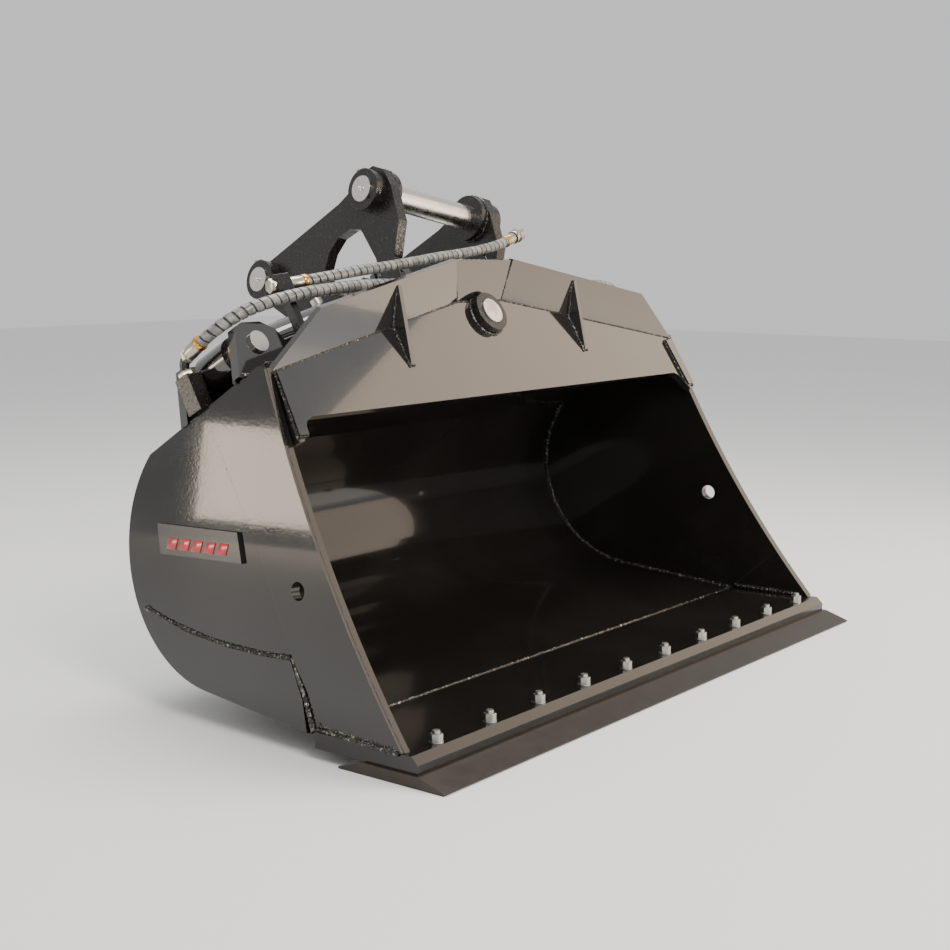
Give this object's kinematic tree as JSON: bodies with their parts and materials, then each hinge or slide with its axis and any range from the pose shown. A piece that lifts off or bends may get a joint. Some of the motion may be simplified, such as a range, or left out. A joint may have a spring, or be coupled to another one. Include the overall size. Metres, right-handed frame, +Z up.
{
  "type": "tilting excavator bucket",
  "caption": "Wide hydraulic tilt bucket with bolt-on cutting blade, twin tilt cylinders and a tilting head whose ears carry the two mounting pins.",
  "frame": {"origin": "on the ground under the middle of the whole bucket's box", "axes": "+X right along the blade, +Y from the mouth to the back, +Z up"},
  "size_m": [1.816, 1.2872, 1.2417],
  "materials": {
    "black_paint": "gloss black enamel over welded plate",
    "edge_steel": "dark satin paint, worn",
    "zinc_plate": "bright zinc",
    "pin_steel": "ground steel",
    "rod_chrome": "hard chrome",
    "bush_bronze": "bronze",
    "fitting_steel": "plated steel",
    "badge_enamel": "red and black enamel, no mark",
    "hose_rubber": "black rubber under a spiral guard"
  },
  "bodies": {
    "bucket": {"badge_plates": "badge_enamel", "base_edge": "edge_steel", "bolt_on_blade": "edge_steel", "crest_gussets": "black_paint", "crest_left": "black_paint", "crest_middle": "black_paint", "crest_right": "black_paint", "cylinder_bracket_left": "black_paint", "cylinder_bracket_right": "black_paint", "cylinder_pin_left": "pin_steel", "cylinder_pin_right": "pin_steel", "edge_bolts": "zinc_plate", "edge_nuts": "zinc_plate", "edge_washers": "zinc_plate", "front_strips": "black_paint", "hose_blocks": "fitting_steel", "hose_lower": "hose_rubber", "hose_upper": "hose_rubber", "pivot_front_boss": "black_paint", "pivot_pin": "pin_steel", "pivot_pin_collar": "black_paint", "shell_wrapper": "black_paint", "side_plate_left": "black_paint", "side_plate_right": "black_paint", "side_wear_plate_left": "black_paint", "side_wear_plate_right": "black_paint", "yoke_front_plate": "black_paint", "yoke_rear_plate": "black_paint"},
    "head": {"collar_bolts": "zinc_plate", "dipper_pin": "pin_steel", "ear_inner_eyes": "black_paint", "ear_left": "black_paint", "ear_pin_collars": "black_paint", "ear_right": "black_paint", "head_base_plate": "black_paint", "link_pin": "pin_steel", "pivot_bushes": "bush_bronze", "pivot_sleeve": "black_paint", "rod_lugs": "black_paint", "sleeve_webs": "black_paint"},
    "barrel_left": {"barrel_bush_left": "bush_bronze", "barrel_cap_left": "black_paint", "barrel_eye_left": "black_paint", "barrel_ports_left": "fitting_steel", "barrel_tube_left": "black_paint", "gland_left": "black_paint"},
    "rod_left": {"piston_left": "rod_chrome", "rod_eye_left": "black_paint", "rod_left": "rod_chrome", "rod_pin_left": "pin_steel"},
    "barrel_right": {"barrel_bush_right": "bush_bronze", "barrel_cap_right": "black_paint", "barrel_eye_right": "black_paint", "barrel_ports_right": "fitting_steel", "barrel_tube_right": "black_paint", "gland_right": "black_paint"},
    "rod_right": {"piston_right": "rod_chrome", "rod_eye_right": "black_paint", "rod_pin_right": "pin_steel", "rod_right": "rod_chrome"}
  },
  "joints": [
    {"name": "head_tilt", "type": "hinge", "parent": "bucket", "child": "head", "pos_m": [0, -0.06958, 0.882], "axis": [0, 0.866, -0.5], "range_deg": [-41.5, 18.5]},
    {"name": "barrel_left_swing", "type": "hinge", "parent": "bucket", "child": "barrel_left", "pos_m": [-0.738, 0.11228, 0.777], "axis": [0, 0.866, -0.5], "range_deg": [-3.2, 6.9]},
    {"name": "rod_left_stroke", "type": "slide", "parent": "barrel_left", "child": "rod_left", "axis": [0.9708, 0.1199, 0.2077], "range_m": [-0.104, 0.047]},
    {"name": "barrel_right_swing", "type": "hinge", "parent": "bucket", "child": "barrel_right", "pos_m": [0.738, 0.11228, 0.777], "axis": [0, 0.866, -0.5], "range_deg": [-3.2, 6.9]},
    {"name": "rod_right_stroke", "type": "slide", "parent": "barrel_right", "child": "rod_right", "axis": [-0.9853, 0.0853, 0.1477], "range_m": [-0.047, 0.104]}
  ],
  "couplings": [
    {"joint": "barrel_left_swing", "follows": "head_tilt", "ratio": -0.1625},
    {"joint": "rod_left_stroke", "follows": "head_tilt", "m_per_rad": 0.14037},
    {"joint": "barrel_right_swing", "follows": "head_tilt", "ratio": -0.16},
    {"joint": "rod_right_stroke", "follows": "head_tilt", "m_per_rad": -0.14037}
  ]
}
